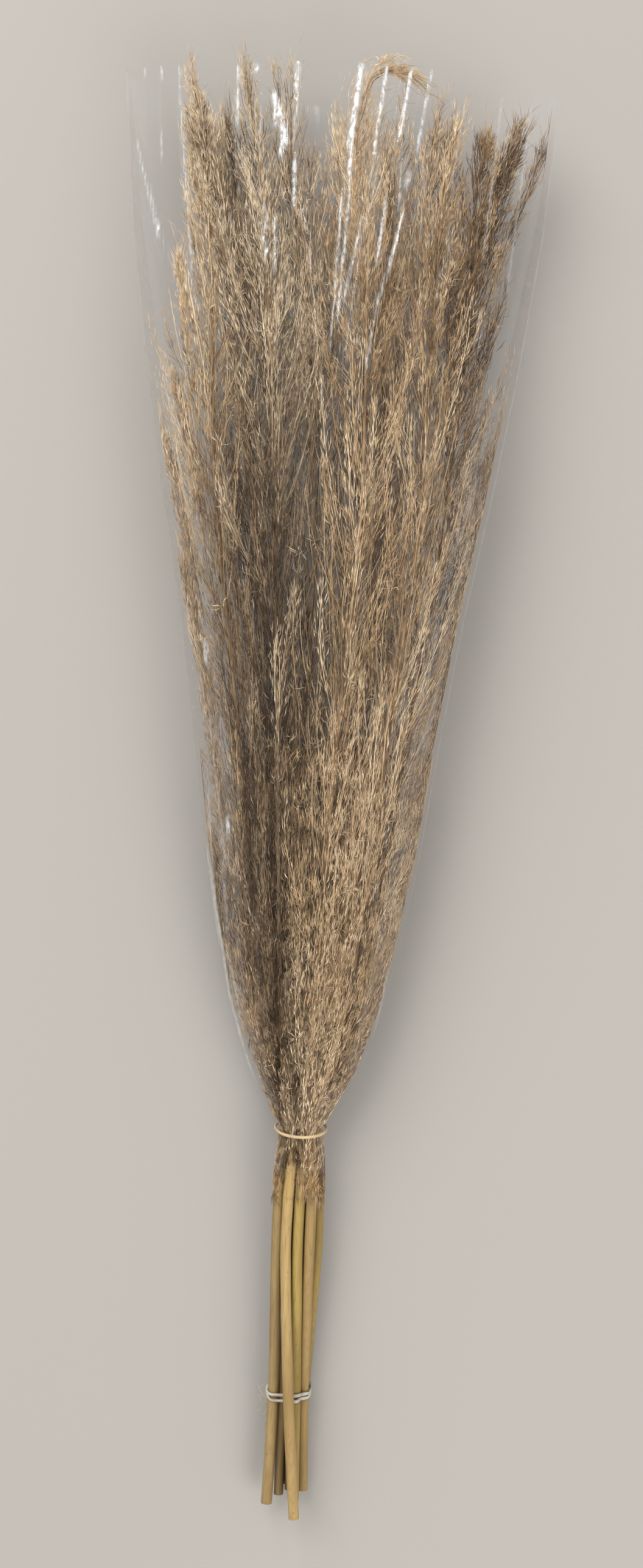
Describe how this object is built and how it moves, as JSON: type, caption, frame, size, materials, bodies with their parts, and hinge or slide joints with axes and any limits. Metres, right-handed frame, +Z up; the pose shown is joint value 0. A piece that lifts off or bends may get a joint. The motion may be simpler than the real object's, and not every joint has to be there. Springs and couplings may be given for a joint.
{
  "type": "bundle of pampas grass",
  "caption": "Bundle of dried pampas grass plumes on bare cut stalks, in a clear cone-shaped film sleeve gathered by a rubber band, with a second band round the stalks. It lies on its side.",
  "frame": {"origin": "on the surface the bundle lies on, under the middle of its length and width", "axes": "+Y along the bundle from the cut stalk ends to the plume tips, +X across it, +Z up from the surface"},
  "size_m": [0.322, 1.1046, 0.1195],
  "materials": {
    "stalk": "satin",
    "stalk_green": "satin",
    "stalk_shaded": "satin",
    "plume_golden": "matte",
    "plume_grey": "matte",
    "plume_brown": "matte",
    "clear_film": "gloss",
    "cream_rubber": "matte",
    "white_rubber": "matte"
  },
  "bodies": {
    "root": {"stalk_1": "stalk", "stalk_2": "stalk_shaded", "stalk_3": "stalk", "stalk_4": "stalk_shaded", "stalk_5": "stalk_green", "stalk_6": "stalk_shaded", "stalk_7": "stalk", "stalk_8": "stalk_green", "plume_1": "plume_golden", "plume_2": "plume_grey", "plume_3": "plume_grey", "plume_4": "plume_grey", "plume_5": "plume_golden", "plume_6": "plume_brown", "plume_7": "plume_golden", "plume_8": "plume_brown", "film_sleeve": "clear_film", "neck_band": "cream_rubber", "stalk_band": "white_rubber"}
  },
  "joints": []
}
